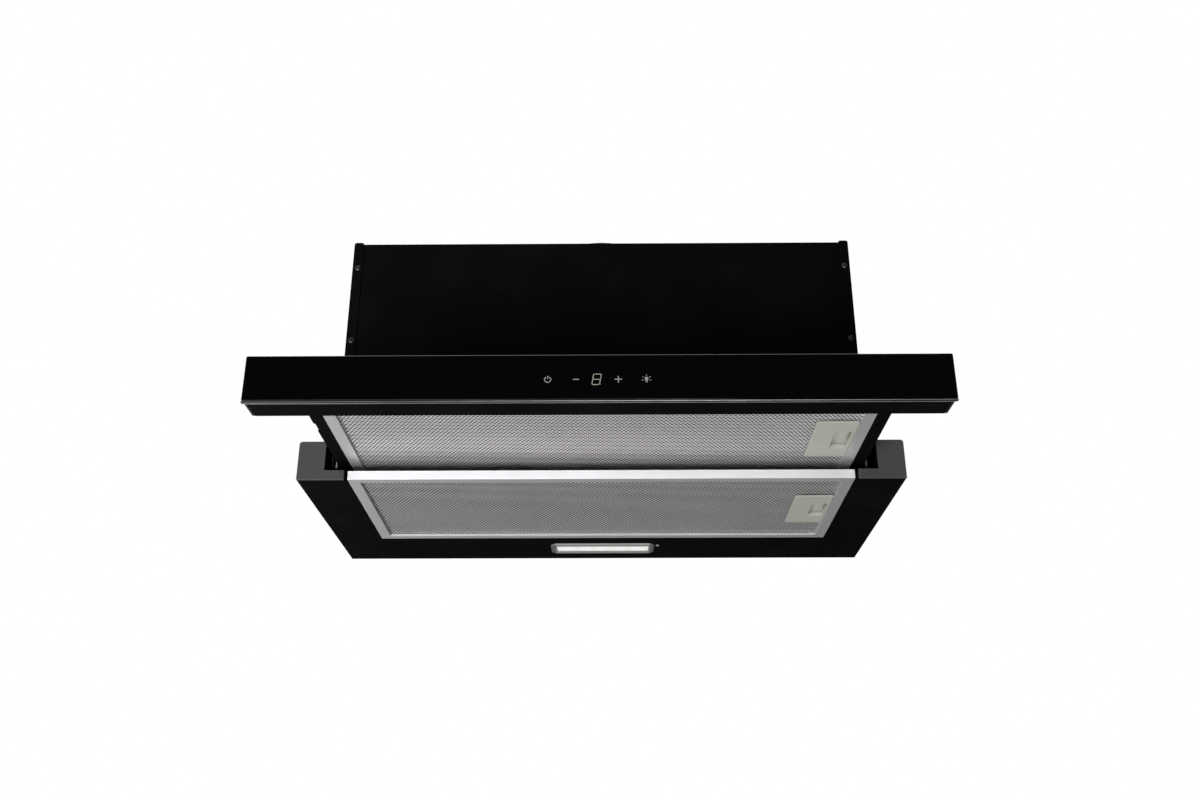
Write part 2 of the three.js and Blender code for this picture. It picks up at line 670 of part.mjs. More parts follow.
// The slots that take a filter's two side tabs and the latch's tongue.
function filterSlots(y, z) {
  const [inner, outer] = [BAY.half - 1, BAY.half + SHEET + 1];
  const tabs = tabPlaces(y).map((place) => block([-outer, -inner], [place - 9, place + 9], [z + 2, z + 8.4]));
  const middle = latchMiddle(y);
  return [...tabs, block([inner, outer], [middle - 10, middle + 10], [z + LATCH.carriage - 0.5, z + 7.2])];
}

// The mesh pack in the frame's groove: its lower sheet and turned up edges, cut back round the latch.
function filterMesh(y, z) {
  const { half, depth, height, skin, lip } = FILTER;
  const inset = skin + GAP;
  const [low, high] = [z + lip + GAP, z + height - inset];
  const slab = block([-half + inset, half - inset], [y + inset, y + depth - inset], [low, high]);
  const hollow = block([-half + 4, half - 4], [y + 4, y + depth - 4], [low + 0.9, high + 1]);
  const [px, py] = [LATCH.x, y + LATCH.y];
  const latchRoom = block([px - 1, half], [py - 1, py + LATCH.length + 1], [z - 1, z + height]);
  return cut(slab, hollow, latchRoom);
}

// The pale latch plate: its face with the window, the finger pocket's walls and the edge that
// lies over the frame's lip.
function latchPlate(filterY, z) {
  const { x0, x1, y0, y1 } = LATCH_WINDOW;
  const [x, y] = [LATCH.x, filterY + LATCH.y];
  const [front, rear] = [filterY + y0, filterY + y1];
  const right = x + LATCH.width;
  const face = prism("z", roundedRect([x, right], [y, y + LATCH.length], 2), z + 0.3, z + 1.7);
  const window = block([x0, x1], [front, rear], [z - 1, z + 3]);
  const walls = [
    block([x + 6, right - 2], [front - 1.2, front], [z + 1.5, z + 7.4]),
    block([x + 6, right - 2], [rear, rear + 1.2], [z + 1.5, z + 7.4]),
    block([x1, right - 0.5], [front - 0.5, rear + 0.5], [z + 1.5, z + 4.6]),
    block([right - 1.5, FILTER.half - 4], [y + 5, y + LATCH.length - 5], [z + FILTER.lip + GAP, z + 4.2]),
    block([right - 2, right - 0.1], [y + 5, y + LATCH.length - 5], [z + 1.5, z + 4.2]),
  ];
  return join(cut(face, window), ...walls);
}

// The slider: a pad behind the window with a flush finger ridge, a carriage and a tongue past the
// frame. The tongue tapers on its lower side, so that the filter snaps home when it is pushed up.
function latchSlider(filterY, z) {
  const { y0, padEnd, padRear } = LATCH_WINDOW;
  const middle = latchMiddle(filterY);
  const [low, high] = [z + LATCH.carriage, z + LATCH.carriage + LATCH.carriageThick];
  const [root, tip] = [LATCH.x + LATCH.width, FILTER.half + LATCH.tongue];
  const carriage = block([LATCH.x + 13, root + 2], [middle - 17.6, middle + 17.6], [low, high]);
  const pad = block([LATCH.x + 8, padEnd], [filterY + y0 + 0.5, filterY + padRear], [z + 2, low + 0.5]);
  const ridge = block([padEnd - 5.2, padEnd], [filterY + y0 + 0.5, filterY + padRear], [z + 0.4, z + 2.5]);
  const tongue = [[root, low], [tip - 1.6, low], [tip, low + 1], [tip, high], [root, high]];
  return join(carriage, pad, ridge, prism("y", tongue, middle - 8, middle + 8));
}

// ---------------------------------------------------------------- drawer

// Two arms of channel, open outwards round the ball slides, with a front and a rear rail welded
// between them. The rails stand a little inside the arms' flanges, and the left arm's lower flange has
// a small cut-out in its edge.
function drawerFrame() {
  const { floor, top, armOuter, front, back, filterY } = DRAWER;
  const arm = folded([[armOuter, top], [BAY.half, top], [BAY.half, floor], [armOuter, floor]], SHEET);
  const arms = [arm, mirrored(arm)].map((section) => prism("y", section, front + 0.2, back));
  const [low, high, lip] = [floor + 0.15, top - 0.15, 8.4];
  const frontRail = folded([[front + lip, high], [front, high], [front, low], [front + lip, low]], SHEET);
  const rearRail = folded([[back - 10.5, low], [back - 10.5, high], [back - 0.2, high]].reverse(), SHEET);
  const rails = [
    prism("x", frontRail, -armOuter + 0.4, armOuter - 0.4),
    prism("x", rearRail, -BAY.half - 0.4, BAY.half + 0.4),
  ];
  const leftCutOut = block([-armOuter - 1, -armOuter + 1.4], [-98, -81], [floor - 1, floor + 2]);
  return cut(join(...arms, ...rails), leftCutOut, ...filterSlots(filterY, floor));
}

// The thin sheet that closes the drawer's top, pressed with three stiffening beads.
function drawerCover() {
  const [z0, z1] = [DRAWER.top + GAP, DRAWER.top + 1.1];
  const plate = block([-259, 259], [DRAWER.front, 10], [z0, z1]);
  const beads = [-125, -80, -35].map((y) =>
    prism("z", roundedRect([-215, 215], [y, y + 8], 3.9), z1 - 0.3, z1 + 0.6),
  );
  return join(plate, ...beads);
}

function barCarrier() {
  const { front, back, height, wall, half } = BAR;
  const [x0, x1] = [-half + 2.2, half - 2.2];
  const tube = cut(
    prism("x", roundedRect([front, back], [0, height], 1.2), x0, x1),
    prism("x", roundedRect([front + wall, back - wall], [wall, height - wall], 0.8), x0 - 1, x1 + 1),
  );
  const boardWindow = block([-60, 60], [front - 1, front + wall + 1], [8, 32]);
  const cableSlot = block([-20, 20], [back - wall - 1, back + 1], [22, 34]);
  return cut(tube, boardWindow, cableSlot);
}

function barEndCap() {
  const { front, back, height, half } = BAR;
  const plate = prism("x", roundedRect([front, back], [0, height], 2), half - 1.9, half);
  const plug = cut(
    block([half - 9, half - 1], [front + 2, back - 2], [2, height - 2]),
    block([half - 10, half - 1.9], [front + 3.6, back - 3.6], [3.6, height - 3.6]),
  );
  return join(plate, plug);
}

function glassFascia() {
  const { half, front, thick, bottom, top } = GLASS;
  const outline = roundedRect([-half, half], [bottom, top], 1.5);
  const pane = new THREE.ExtrudeGeometry(outline, {
    depth: thick - 1.2,
    bevelEnabled: true,
    bevelThickness: 0.6,
    bevelSize: 0.5,
    bevelOffset: -0.5,
    bevelSegments: 1,
    curveSegments: 4,
  });
  return solid(pane.rotateX(Math.PI / 2).translate(0, front + thick - 0.6, 0));
}

// The thin metal strip along the lower edge of the glass.
function fasciaTrim() {
  const [front, back, low, high] = [GLASS.front - 0.2, GLASS.front + GLASS.thick, -0.4, 0.7];
  const section = [[front, low], [back, low], [back, high], [front, high]];
  return prism("x", section, -GLASS.half, GLASS.half);
}

function touchBoard() {
  const face = BAR.front + BAR.wall + GAP;
  const board = block([-57, 57], [face, face + 1.6], [7, 33]);
  const pads = [-42.9, -19.1, 16.4, 40.1].map((x) => rod("y", 5, [face - 1.4, face + 0.5], [x, 0, 19.5], 14));
  const plug = block([30, 44], [face + 1, face + 7], [22, 30]);
  return join(board, ...pads, plug);
}

function displayModule() {
  return prism("y", roundedRect([-8.4, 4.8], [11.5, 27.5], 0.6), BAR.front, BAR.front + BAR.wall);
}

// A small rubber stop on the back of the bar, against the grey end cap when the drawer is shut.
function bumper() {
  const profile = [[0, 0], [4.5, 0], [4.5, 0.6], [3, 1.4], [0, 1.6]];
  return turned("y", profile, [286, BAR.back + GAP, 25], 14);
}

// ---------------------------------------------------------------- cabinet brackets

function cabinetBracket() {
  const { reach, z, height, thick } = BRACKET;
  const near = HOUSING.half + GAP;
  const plan = folded([[near, 95], [near, 128], [reach, 128], [reach, 165]].reverse(), thick);
  const slot = prism("x", roundedRect([139, 155], [z + 17, z + 23], 2.9), reach - 5, reach + 5);
  const hole = prism("x", roundedRect([104, 112], [z + 17, z + 23], 2.9), near - 2, near + 5);
  return cut(prism("z", plan, z, z + height), slot, hole);
}

// ---------------------------------------------------------------- assembly

piece("base_frame", baseFrame(), BLACK_STEEL);
pair("end_cap", endCap(), GREY_PLASTIC);

pair("housing_side", housingSide(), BLACK_STEEL);
piece("housing_front", housingFront(), BLACK_STEEL);
piece("housing_rear", housingRear(), BLACK_STEEL);
piece("housing_top", housingTop(), BLACK_STEEL);
pair("lower_screw", housingScrew(HOUSING_SCREW_HEIGHTS[0]), BLACK_STEEL);
pair("upper_screw", housingScrew(HOUSING_SCREW_HEIGHTS[1]), BLACK_STEEL);
pair("cabinet_bracket", cabinetBracket(), ZINC);

piece("outlet_collar", outletCollar(), BLACK_PLASTIC);
piece("front_flap", flap(-1), BLACK_PLASTIC);
piece("rear_flap", flap(1), BLACK_PLASTIC);
piece("flap_pin", flapPin(), ZINC);

piece("blower_front", blowerHalf(BLOWER.front, OUTLET.y - GAP / 2), BLACK_PLASTIC);
piece("blower_rear", blowerHalf(BLOWER.back, OUTLET.y + GAP / 2), BLACK_PLASTIC);
piece("motor", motor(), ZINC);
piece("motor_bracket", motorBracket(), ZINC);
for (const [name, made] of [["fan_wheel", fanWheel()], ["motor_shaft", motorShaft()]]) {
  piece(name, made, name === "fan_wheel" ? GREY_PLASTIC : ZINC).position.set(BLOWER.x, 0, BLOWER.z);
}

piece("control_box", controlBox(), BLACK_PLASTIC);
piece("control_box_lid", controlBoxLid(), BLACK_PLASTIC);
piece("control_board", controlBoard(), BOARD_GREEN);
piece("capacitor", capacitor(), PALE_PLASTIC);
piece("cable_gland", cableGland(), BLACK_PLASTIC);

piece("lamp_bezel", lampBezel(), LAMP_GREY);
piece("lamp_lens", lampLens(), LENS_WHITE);
piece("led_board", ledBoard(), BOARD_GREEN);
piece("lamp_screw", lampScrew(), ZINC);

pair("slide_fixed", fixedSlide(), ZINC);
pair("slide_middle", middleSlide(), ZINC);
pair("slide_drawer", drawerSlide(), ZINC);

const FILTERS = [["rear", FILTER.rearY, 0], ["front", DRAWER.filterY, DRAWER.floor]];
for (const [name, y, z] of FILTERS) {
  piece(name + "_filter_frame", filterFrame(y, z), ALUMINIUM);
  piece(name + "_filter_mesh", filterMesh(y, z), MESH_METAL);
  piece(name + "_latch_plate", latchPlate(y, z), PALE_PLASTIC);
  piece(name + "_latch_slider", latchSlider(y, z), PALE_PLASTIC);
}

piece("drawer_frame", drawerFrame(), BLACK_STEEL);
piece("drawer_cover", drawerCover(), BLACK_STEEL);
piece("bar_carrier", barCarrier(), BLACK_STEEL);
pair("bar_end_cap", barEndCap(), BLACK_PLASTIC);
piece("glass_fascia", glassFascia(), BLACK_GLASS);
piece("fascia_trim", fasciaTrim(), ALUMINIUM);
piece("touch_board", touchBoard(), BOARD_GREEN);
piece("display", displayModule(), DISPLAY_GREY);
pair("bumper", bumper(), RUBBER);

object.position.copy(DATUM);

export default object;
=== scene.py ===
# Pull out range hood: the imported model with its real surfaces, perforated filters, latches and
# controls.
#
# Sizes are in the drawing's millimetres: X to the right, Y to the back from the front of the grey
# end caps, Z up from the flat underside. at() turns them into metres in the part's own frame.

import json
import math

import bpy
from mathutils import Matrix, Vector


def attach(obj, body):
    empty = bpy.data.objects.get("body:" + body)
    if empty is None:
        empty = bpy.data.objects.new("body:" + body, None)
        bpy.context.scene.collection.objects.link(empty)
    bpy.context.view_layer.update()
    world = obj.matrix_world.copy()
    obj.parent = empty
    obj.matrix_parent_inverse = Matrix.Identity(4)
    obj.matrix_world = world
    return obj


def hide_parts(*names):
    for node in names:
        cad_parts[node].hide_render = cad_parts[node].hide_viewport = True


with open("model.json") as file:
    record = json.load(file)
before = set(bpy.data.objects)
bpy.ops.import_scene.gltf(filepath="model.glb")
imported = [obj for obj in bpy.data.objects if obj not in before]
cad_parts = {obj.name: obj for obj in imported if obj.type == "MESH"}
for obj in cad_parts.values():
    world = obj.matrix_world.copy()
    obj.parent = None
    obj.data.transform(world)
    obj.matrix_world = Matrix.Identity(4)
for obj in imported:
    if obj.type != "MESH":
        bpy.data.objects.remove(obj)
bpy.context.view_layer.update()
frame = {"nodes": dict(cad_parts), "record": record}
cad = frame["nodes"]
bodies = frame["record"]["behaviour"]["bodies"]
body_of = {node: body for body, members in bodies.items() for node in members}

MM = 0.001
DATUM = (0, 140, 40)


def at(x, y, z):
    """The place in metres for one in the drawing's millimetres."""
    return Vector((x, y - DATUM[1], z - DATUM[2])) * MM


def drawn(place):
    """The drawing's millimetres for a place in metres."""
    return place / MM + Vector(DATUM)


# Each filter's front edge, the height of its underside, and the body that carries it.
FILTERS = {"rear": (0, 0, "rear_filter"), "front": (-151.5, 19, "drawer")}
SHEET_LOW = 2.9

# ---------------------------------------------------------------- camera

camera = bpy.data.objects.new("camera", bpy.data.cameras.new("camera"))
bpy.context.scene.collection.objects.link(camera)
camera.data.sensor_width = 36
camera.data.lens = 36.4824
camera.location = at(10.11, -1121.8, -400.99)
pitch, turn = math.radians(23.373), math.radians(-0.5573)
level = math.cos(pitch)
sight = Vector((math.sin(turn) * level, math.cos(turn) * level, math.sin(pitch)))
camera.rotation_euler = sight.to_track_quat("-Z", "Y").to_euler()
camera.data.clip_start = 0.01
bpy.context.scene.camera = camera
bpy.context.scene.view_settings.view_transform = "Standard"

# ---------------------------------------------------------------- shader nodes


def add_node(tree, kind, settings, inputs):
    """A shader node with these settings. Inputs given as sockets are linked, and the others set."""
    made = tree.nodes.new("ShaderNode" + kind)
    for key, value in settings.items():
        setattr(made, key, value)
    for key, value in inputs.items():
        if isinstance(value, bpy.types.NodeSocket):
            tree.links.new(value, made.inputs[key])
        else:
            made.inputs[key].default_value = value
    return made


class Number:
    """A number at every point of a surface. Arithmetic on it adds the nodes that work it out."""

    def __init__(self, finish, socket):
        self.finish = finish
        self.socket = socket

    def __add__(self, other):
        return self.finish.maths("ADD", self, other)

    def __sub__(self, other):
        return self.finish.maths("SUBTRACT", self, other)

    def __rsub__(self, other):
        return self.finish.maths("SUBTRACT", other, self)

    def __mul__(self, other):
        return self.finish.maths("MULTIPLY", self, other)

    def __truediv__(self, other):
        return self.finish.maths("DIVIDE", self, other)

    def __lt__(self, other):
        return self.finish.maths("LESS_THAN", self, other)

    def __gt__(self, other):
        return self.finish.maths("GREATER_THAN", self, other)

    def __abs__(self):
        return self.finish.maths("ABSOLUTE", self)

    def wave(self, pitch):
        """From 0 to 1 and back over pitch millimetres, again and again."""
        return abs(self.finish.maths("SINE", self * (math.pi / pitch)))

    __radd__ = __add__
    __rmul__ = __mul__


class Finish:
    """One material while it is made. fixed holds what is the same all over the surface."""

    def __init__(self, name, fixed):
        self.material = bpy.data.materials.new(name)
        self.material.use_nodes = True
        self.tree = self.material.node_tree
        self.tree.nodes.clear()
        self.shader = self.node("BsdfPrincipled", {}, fixed)
        self.node("OutputMaterial", {}, {"Surface": self.shader.outputs["BSDF"]})
        self.place = self.node("TexCoord", {}, {}).outputs["Object"]
        axes = self.node("SeparateXYZ", {}, {"Vector": self.place})
        self.x, self.y, self.z = (Number(self, axes.outputs[i]) * 1000 for i in range(3))

    def node(self, kind, settings, inputs):
        sockets = {key: getattr(value, "socket", value) for key, value in inputs.items()}
        return add_node(self.tree, kind, settings, sockets)

    def maths(self, operation, *values):
        made = self.node("Math", {"operation": operation}, dict(enumerate(values)))
        return Number(self, made.outputs[0])

    def least(self, a, b):
        return self.maths("MINIMUM", a, b)

    def most(self, a, b):
        return self.maths("MAXIMUM", a, b)

    def ramp(self, value, low, high, to_low=0.0, to_high=1.0):
        """value taken smoothly from low..high to to_low..to_high."""
        inputs = {"Value": value, "From Min": low, "From Max": high}
        inputs.update({"To Min": to_low, "To Max": to_high})
        made = self.node("MapRange", {"interpolation_type": "SMOOTHSTEP"}, inputs)
        return Number(self, made.outputs["Result"])

    def noise(self, size, stretch=(1, 1, 1), detail=3, roughness=0.5):
        """Cloudy noise from 0 to 1, in lumps of size millimetres.

        They are longer along an axis whose stretch is under 1."""
        place = self.node("VectorMath", {"operation": "MULTIPLY"}, {0: self.place, 1: stretch})
        inputs = {"Vector": place.outputs[0], "Scale": 1000 / size}
        inputs.update({"Detail": detail, "Roughness": roughness})
        return Number(self, self.node("TexNoise", {}, inputs).outputs["Fac"])

    def cells(self, size, output="Distance"):
        """Irregular cells of size millimetres: how far their middle is, or a Color for each."""
        inputs = {"Vector": self.place, "Scale": 1000 / size}
        return Number(self, self.node("TexVoronoi", {}, inputs).outputs[output])

    def between(self, mask, one, other):
        """The colour one where mask is 0 and other where it is 1."""
        one, other = (c if isinstance(c, bpy.types.NodeSocket) else (*c, 1) for c in (one, other))
        return self.node("Mix", {"data_type": "RGBA"}, {0: mask, 6: one, 7: other}).outputs[2]

    def set(self, name, value):
        self.tree.links.new(getattr(value, "socket", value), self.shader.inputs[name])

    def relief(self, height, depth, strength=1.0):
        """Bumps where height goes from 0 to 1 over depth millimetres."""
        inputs = {"Height": height, "Distance": depth * MM, "Strength": strength}
        self.set("Normal", self.node("Bump", {}, inputs).outputs["Normal"])


# ---------------------------------------------------------------- stage and light

# Name, place, what it aims at, width and height, all in metres, and watts.
LAMPS = [
    ("front_high_box", (-0.7, -1.6, 1.9), (0, -0.1, 0.0), (2.0, 0.9), 8),
    ("front_low_box", (-0.7, -1.5, -1.0), (0, -0.1, 0.0), (2.2, 0.7), 25),
    ("under_box", (0.0, -0.5, -1.5), (0, -0.1, 0.0), (1.8, 0.7), 2),
    ("back_low_left_box", (-1.5, 1.3, -1.1), (0, -0.1, 0.0), (1.2, 0.7), 4),
    ("rear_box", (0.0, 1.8, 1.5), (0, 0.0, 0.1), (2.0, 1.0), 12),
    ("top_box", (0.0, 0.2, 2.2), (0, -0.05, 0.0), (2.0, 1.2), 6),
]
ROOM_LIGHT = 0.03
LAMP_SPREAD = math.radians(110)
FLOOR_HEIGHT, FLOOR_WIDTH = -1.7, 14


def studio():
    """Pale floor far below, soft boxes, and a room that is white behind and above the hood.

    The camera sees white all round, and the floor pale however little light falls on it. Gloss sees
    white behind and above, and a dark room in front, so that black steel and glass stay black. On
    everything else the room itself sheds very little light."""
    world = bpy.data.worlds.new("studio")
    bpy.context.scene.world = world
    world.use_nodes = True
    tree = world.node_tree
    tree.nodes.clear()

    def add(kind, settings, inputs):
        return add_node(tree, kind, settings, inputs).outputs[0]

    path = add_node(tree, "LightPath", {}, {}).outputs
    direction = add_node(tree, "TexCoord", {}, {}).outputs["Generated"]
    axes = add_node(tree, "SeparateXYZ", {}, {"Vector": direction}).outputs
    smooth = {"interpolation_type": "SMOOTHSTEP"}
    both, most = {"operation": "MULTIPLY"}, {"operation": "MAXIMUM"}
    behind = add("MapRange", smooth, {"Value": axes["Y"], "From Min": -0.1, "From Max": 0.5})
    above = add("MapRange", smooth, {"Value": axes["Z"], "From Min": 0.05, "From Max": 0.4})
    white = add("Math", both, {0: behind, 1: above})
    gloss = add("Math", both, {0: white, 1: path["Is Glossy Ray"]})
    seen = add("Math", most, {0: path["Is Camera Ray"], 1: path["Is Transmission Ray"]})
    either = add("Math", most, {0: seen, 1: gloss})
    level = add("MapRange", {}, {"Value": either, "To Min": ROOM_LIGHT, "To Max": 1.0})
    sky = add("Background", {}, {"Color": (1, 1, 1, 1), "Strength": level})
    add_node(tree, "OutputWorld", {}, {"Surface": sky})

    bpy.ops.mesh.primitive_plane_add(size=FLOOR_WIDTH, location=(0, 0, FLOOR_HEIGHT))
    floor = bpy.context.object
    floor.name = "pale_floor"
    paper = Finish("pale_floor", {"Roughness": 0.8, "Emission Strength": 1.0})
    paper.set("Base Color", paper.between(paper.noise(180), (0.70, 0.70, 0.69), (0.74, 0.74, 0.73)))
    seen_directly = paper.node("LightPath", {}, {}).outputs["Is Camera Ray"]
    paper.set("Emission Color", paper.between(seen_directly, (0, 0, 0), (0.66, 0.66, 0.65)))
    floor.data.materials.append(paper.material)

    for name, place, aim, size, power in LAMPS:
        lamp = bpy.data.lights.new(name, "AREA")
        lamp.spread = LAMP_SPREAD
        lamp.shape = "RECTANGLE"
        lamp.size, lamp.size_y = size
        lamp.energy = power
        holder = bpy.data.objects.new(name, lamp)
        bpy.context.scene.collection.objects.link(holder)
        holder.location = place
        holder.rotation_euler = (Vector(aim) - Vector(place)).to_track_quat("-Z", "Y").to_euler()


studio()

# ---------------------------------------------------------------- finishes
# A finish reads places in the part's own frame, whose zero is the drawing's DATUM.


def black_steel():
    """Satin powder coat: a fine even grain, a little dust and lighter rubbed places."""
    paint = Finish("black_steel", {"Specular IOR Level": 0.011})
    dust = paint.ramp(paint.noise(60, detail=5), 0.45, 0.75)
    paint.set("Base Color", paint.between(dust, (0.0026, 0.0024, 0.0027), (0.0040, 0.0037, 0.0041)))
    paint.set("Roughness", 0.42 + 0.14 * paint.noise(35, detail=5))
    paint.relief(paint.noise(0.9, detail=2), 0.03, 0.5)
    return paint.material


def black_plastic():
    plastic = Finish("black_plastic", {"Specular IOR Level": 0.3})
    flow = plastic.noise(20)
    plastic.set("Base Color", plastic.between(flow, (0.008, 0.008, 0.0085), (0.013, 0.013, 0.0135)))
    plastic.set("Roughness", 0.45 + 0.15 * plastic.noise(12))
    plastic.relief(plastic.cells(0.7), 0.04, 0.6)
    return plastic.material


def grey_plastic():
    """Moulded satin grey of the end caps, with fine grain and faint flow marks."""
    plastic = Finish("grey_plastic", {"Specular IOR Level": 0.35})
    flow = plastic.noise(30, (1, 0.3, 1), 4)
    plastic.set("Base Color", plastic.between(flow, (0.036, 0.036, 0.038), (0.043, 0.043, 0.045)))
    plastic.set("Roughness", 0.42 + 0.16 * plastic.noise(6))
    plastic.relief(plastic.cells(0.5), 0.03, 0.5)
    return plastic.material


def black_glass():
    """Back-painted glass: deep black and glossy, with the faintest wiping marks."""
    glass = Finish("black_glass", {"Specular IOR Level": 0.5, "IOR": 1.5})
    wiped = glass.noise(90, (0.25, 1, 1), 5)
    paint = glass.between(wiped, (0.0004, 0.0003, 0.0005), (0.0007, 0.0006, 0.0008))
    glass.set("Base Color", paint)
    glass.set("Roughness", glass.ramp(wiped, 0.35, 0.75, 0.03, 0.10))
    return glass.material


def drawn_can():
    """The capacitor's bare metal, with drawing marks along it and soft stains."""
    metal = Finish("capacitor_can", {"Metallic": 1.0})
    marks = metal.noise(2.2, (1, 1, 0.1), 4, 0.65)
    stain = metal.noise(40, detail=4)
    shade = 0.55 * marks + 0.45 * stain
    metal.set("Base Color", metal.between(shade, (0.5, 0.5, 0.5), (0.62, 0.62, 0.62)))
    metal.set("Roughness", 0.28 + 0.16 * marks)
    metal.relief(marks, 0.02, 0.5)
    return metal.material


# The second pair gives the heights of the painted highlight line on the trim's front face.
TRIM_FRONT, TRIM_HIGHLIGHT_Z = -332.9, (-40.35, -39.8)


def edge_trim():
    """Thin anodised strip: nearly black, with painted highlight lines on its front and behind it.

    The painted highlight on its front is brightest right of the middle."""
    trim = Finish("edge_trim", {"Metallic": 0.9})
    # The bright lines here are painted highlights: one on the trim's front face, one at its rear
    # edge.
    front = trim.ramp(trim.y, TRIM_FRONT + 0.1, TRIM_FRONT + 0.3, 1.0, 0.0)
    line = front * (trim.z > TRIM_HIGHLIGHT_Z[0]) * (trim.z < TRIM_HIGHLIGHT_Z[1])
    line = line * trim.ramp(abs(trim.x - 110), 20, 300, 1.0, 0.3)
    rear = trim.ramp(trim.y, TRIM_FRONT + 2.9, TRIM_FRONT + 3.2)
    bright = trim.most(line, rear) * (0.7 + 0.5 * trim.noise(60, detail=2))
    trim.set("Base Color", trim.between(bright, (0.004, 0.004, 0.004), (0.9, 0.9, 0.91)))
    trim.set("Roughness", 0.32 + 0.12 * trim.noise(2, (0.05, 1, 1)))
    return trim.material


FRAME_HALF, FRAME_DEPTH, SIDE_BAND, END_BAND = 248.5, 198, 11, 10


def folded_frame(label, dark, pale, lit_flange):
    """Anodised channel mitred at its corners, with a fine grain that runs along each band.

    The front flange gets a lighter colour of its own, as painted light on its front face."""
    metal = Finish(label + "_filter_frame", {"Metallic": 1.0})
    front = FILTERS[label][0] - DATUM[1]
    from_side = (FRAME_HALF - abs(metal.x)) / SIDE_BAND
    from_end = metal.least(metal.y - front, (front + FRAME_DEPTH) - metal.y) / END_BAND
    on_side = from_side < from_end
    along_y, along_x = metal.noise(1.3, (1, 0.04, 1)), metal.noise(1.3, (0.04, 1, 1))
    grain = on_side * along_y + (1 - on_side) * along_x
    corner = metal.ramp(abs(from_side - from_end), 0.02, 0.09, 1.0, 0.0) * (from_side < 1.05)
    cloud = metal.noise(55, detail=3)
    bands = metal.between(0.3 * grain + 0.3 * cloud + 0.4 * (1 - corner), dark, pale)
    # The front flange's lighter colour is painted light.
    on_lit_flange = metal.ramp(metal.y, front + 0.2, front + 0.6, 1.0, 0.0)
    metal.set("Base Color", metal.between(on_lit_flange, bands, lit_flange))
    metal.set("Roughness", 0.58 + 0.05 * grain)
    metal.relief(grain - 1.5 * corner, 0.006, 0.25)
    return metal.material


def perforated_sheet(label, dark, pale, edge):
    """Punched sheet, rolled along X.

    The holes' walls, just above its underside, get a near-black colour: painted shade in the holes.
    """
    sheet = Finish(label + "_perforated_sheet", {"Metallic": 0.5})
    face = FILTERS[label][1] + SHEET_LOW - DATUM[2]
    # The holes' walls are painted near black: painted shade.
    shaded_hole_wall = sheet.ramp(sheet.z, face + 0.04, face + 0.12)
    cloud = sheet.noise(45, detail=4)
    rolled = sheet.noise(1.5, (0.1, 1, 1), 3)
    web = sheet.between(0.6 * cloud + 0.4 * rolled, dark, pale)
    sheet.set("Base Color", sheet.between(shaded_hole_wall, web, edge))
    sheet.set("Roughness", 0.42 + 0.12 * rolled)
    return sheet.material


def wire_pack():
    """Layers of fine metal mesh: crossing lattices of dull strands over dark gaps.

    The strands' and gaps' dark colours are painted shade behind the sheet.
    """
    wool = Finish("wire_pack", {"Specular IOR Level": 0.1})
    drift = 0.9 * wool.noise(7, detail=2)
    lattices = []
    for turn, pitch in ((0.55, 1.45), (-0.62, 1.3), (0.08, 1.9)):
        c, s = math.cos(turn), math.sin(turn)
        across = wool.x * (c / pitch) + wool.y * (s / pitch) + drift
        lattices.append(across.wave(1))
    strands = wool.least(wool.least(lattices[0], lattices[1]), lattices[2] + 0.12)
    wire = wool.ramp(strands, 0.30, 0.62, 1.0, 0.0)
    # Both colours are painted shade: the strands and gaps are dark because the pack lies in shadow.
    wool.set("Base Color", wool.between(wire, (0.003, 0.003, 0.003), (0.05, 0.05, 0.05)))
    wool.set("Metallic", 0.3 + 0.4 * wire)
    wool.set("Roughness", 0.6 - 0.15 * wire)
    wool.relief(wire, 0.5, 0.8)
    return wool.material


def latch_plastic():
    plastic = Finish("latch_plastic", {"Specular IOR Level": 0.35})
    flow = plastic.noise(15)
    plastic.set("Base Color", plastic.between(flow, (0.30, 0.30, 0.264), (0.335, 0.335, 0.298)))
    plastic.set("Roughness", 0.46 + 0.14 * plastic.noise(5))
    plastic.relief(plastic.cells(0.5), 0.02, 0.5)
    return plastic.material


def zinc_steel():
    """Galvanised steel with its flowery spangle."""
    zinc = Finish("zinc_steel", {"Metallic": 1.0})
    spangle = zinc.cells(9, "Color")
    zinc.set("Base Color", zinc.between(spangle, (0.30, 0.305, 0.31), (0.44, 0.445, 0.45)))
    zinc.set("Roughness", 0.32 + 0.2 * spangle)
    zinc.relief(zinc.noise(1.4), 0.02, 0.4)
    return zinc.material


LENS_HALF, RIB_PITCH, PRISM_PITCH, EMITTER_PITCH = 54, 1.6, 1.5, 20


def lamp_grey():
    """Silver plastic of the lamp's frame, ribbed past the two ends of the lens.

    There it is painted darker, striped with the ribs, as painted shade on the end faces.
    """
    shade = Finish("lamp_grey", {"Metallic": 0.2})
    past_lens = shade.ramp(abs(shade.x), LENS_HALF - 0.4, LENS_HALF + 0.4)
    ribs = shade.x.wave(RIB_PITCH) * past_lens
    plain = shade.between(shade.noise(12), (0.24, 0.24, 0.235), (0.29, 0.29, 0.28))
    # Past the lens's ends: painted shade, striped with the ribs.
    dark = past_lens * (0.55 + 0.35 * ribs)
    shade.set("Base Color", shade.between(dark, plain, (0.06, 0.06, 0.06)))
    shade.set("Roughness", 0.38 + 0.12 * shade.noise(3))
    shade.relief(ribs, 0.25, 0.7)
    return shade.material


